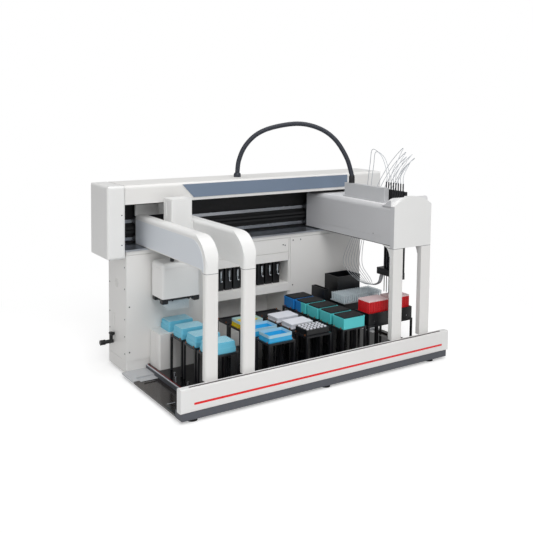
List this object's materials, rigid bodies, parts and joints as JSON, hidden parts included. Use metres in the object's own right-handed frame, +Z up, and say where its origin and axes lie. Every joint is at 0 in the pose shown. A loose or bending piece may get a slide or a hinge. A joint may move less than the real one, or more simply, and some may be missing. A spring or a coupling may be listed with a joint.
{
  "type": "liquid handling robot",
  "caption": "Benchtop liquid handler: a beam on a tower carries a twin-arm bridge with a multichannel head and a wide-arm bridge with needle probes over a labware deck.",
  "frame": {"origin": "on the bench, under the middle of the machine's width and depth, at the bottom of the levelling feet", "axes": "+X to the machine's right along the beam, +Y from the front rail to the tower at the back, +Z up"},
  "size_m": [1.6, 0.808, 1.1569],
  "materials": {
    "dark_base": "matte",
    "black_rubber": "matte",
    "deck_black": "gloss",
    "tray_steel": "satin",
    "white_paint": "satin",
    "white_moulding": "satin",
    "track_brown": "matte",
    "screw_steel": "satin",
    "black_plastic": "satin",
    "clear_glass": "gloss",
    "rod_steel": "polished",
    "sill_aluminium": "satin",
    "black_steel": "matte",
    "rail_steel": "satin",
    "belt_rubber": "matte",
    "slate_paint": "satin",
    "inlay_blue_grey": "satin",
    "carriage_steel": "satin",
    "clear_tip": "gloss",
    "grey_paint": "satin",
    "box_grey": "satin",
    "probe_steel": "satin",
    "hose_dark": "matte",
    "clear_tube": "gloss",
    "copper_pin": "satin",
    "tip_box_cyan": "gloss",
    "reservoir_clear": "gloss",
    "labware_white": "satin",
    "box_teal": "satin",
    "foam_black": "matte",
    "tube_red": "gloss"
  },
  "bodies": {
    "chassis": {"base_frame": "dark_base", "levelling_feet": "black_rubber", "deck_plates": "deck_black", "side_trays": "tray_steel", "front_rail": "white_paint", "rail_track": "track_brown", "rail_end_caps": "white_moulding", "tower_casing": "white_paint", "front_panels": "white_paint", "panel_screws": "screw_steel", "side_valve": "black_plastic", "pump_bodies": "black_plastic", "syringe_barrels": "clear_glass", "beam_cover": "white_paint", "beam_floor": "sill_aluminium", "beam_liner": "black_steel", "x_guide_rails": "rail_steel", "x_drive_belts": "belt_rubber", "beam_end_caps": "white_moulding", "band_plate": "slate_paint", "hose_gland": "black_plastic", "cable_hose": "hose_dark", "station_unit": "white_moulding", "labware_stands": "black_plastic", "nest_pins": "copper_pin", "tip_boxes": "tip_box_cyan", "reservoirs": "reservoir_clear", "white_labware": "labware_white", "tube_rack": "black_plastic", "foam_boxes": "box_teal", "foam_lids": "foam_black", "sample_rack_box": "black_plastic", "sample_tubes": "tube_red", "tip_rack": "clear_tip", "black_bins": "black_plastic"},
    "syringe_drives": {"syringe_plungers": "rod_steel"},
    "left_bridge": {"left_arms": "white_moulding", "left_posts": "white_paint", "left_inlays": "inlay_blue_grey", "left_carriage": "carriage_steel"},
    "left_pod": {"left_z_column": "white_moulding"},
    "left_head": {"head_cover": "white_moulding", "head_slide": "carriage_steel", "head_tips": "clear_tip"},
    "right_bridge": {"right_arm": "grey_paint", "right_hood": "white_moulding", "right_legs": "white_moulding", "right_carriage": "carriage_steel", "cable_box": "box_grey", "upper_tubes": "clear_tube", "lower_tubes": "clear_tube"},
    "span_pod": {"probe_pod": "carriage_steel"},
    "probe_1_body": {"probe_1": "probe_steel"},
    "probe_2_body": {"probe_2": "probe_steel"},
    "probe_3_body": {"probe_3": "probe_steel"},
    "probe_4_body": {"probe_4": "probe_steel"},
    "probe_5_body": {"probe_5": "probe_steel"},
    "probe_6_body": {"probe_6": "probe_steel"},
    "probe_7_body": {"probe_7": "probe_steel"},
    "probe_8_body": {"probe_8": "probe_steel"}
  },
  "joints": [
    {"name": "left_bridge_x", "type": "slide", "parent": "chassis", "child": "left_bridge", "axis": [1, 0, 0], "range_m": [-0.05, 0.7]},
    {"name": "left_pod_y", "type": "slide", "parent": "left_bridge", "child": "left_pod", "axis": [0, 1, 0], "range_m": [-0.4, 0]},
    {"name": "left_head_z", "type": "slide", "parent": "left_pod", "child": "left_head", "axis": [0, 0, 1], "range_m": [-0.04, 0.04]},
    {"name": "right_bridge_x", "type": "slide", "parent": "chassis", "child": "right_bridge", "axis": [1, 0, 0], "range_m": [-0.55, 0.05], "deforming": ["cable_hose"]},
    {"name": "span_pod_y", "type": "slide", "parent": "right_bridge", "child": "span_pod", "axis": [0, 1, 0], "range_m": [-0.006, 0.26], "deforming": ["upper_tubes", "lower_tubes"]},
    {"name": "probe_1_z", "type": "slide", "parent": "span_pod", "child": "probe_1_body", "axis": [0, 0, 1], "range_m": [-0.006, 0.08]},
    {"name": "probe_2_z", "type": "slide", "parent": "span_pod", "child": "probe_2_body", "axis": [0, 0, 1], "range_m": [-0.006, 0.08]},
    {"name": "probe_3_z", "type": "slide", "parent": "span_pod", "child": "probe_3_body", "axis": [0, 0, 1], "range_m": [-0.006, 0.08]},
    {"name": "probe_4_z", "type": "slide", "parent": "span_pod", "child": "probe_4_body", "axis": [0, 0, 1], "range_m": [-0.006, 0.08]},
    {"name": "probe_5_z", "type": "slide", "parent": "span_pod", "child": "probe_5_body", "axis": [0, 0, 1], "range_m": [-0.006, 0.08]},
    {"name": "probe_6_z", "type": "slide", "parent": "span_pod", "child": "probe_6_body", "axis": [0, 0, 1], "range_m": [-0.006, 0.08]},
    {"name": "probe_7_z", "type": "slide", "parent": "span_pod", "child": "probe_7_body", "axis": [0, 0, 1], "range_m": [-0.006, 0.08]},
    {"name": "probe_8_z", "type": "slide", "parent": "span_pod", "child": "probe_8_body", "axis": [0, 0, 1], "range_m": [-0.006, 0.08]},
    {"name": "syringe_drive_z", "type": "slide", "parent": "chassis", "child": "syringe_drives", "axis": [0, 0, 1], "range_m": [-0.025, 0.003]}
  ]
}
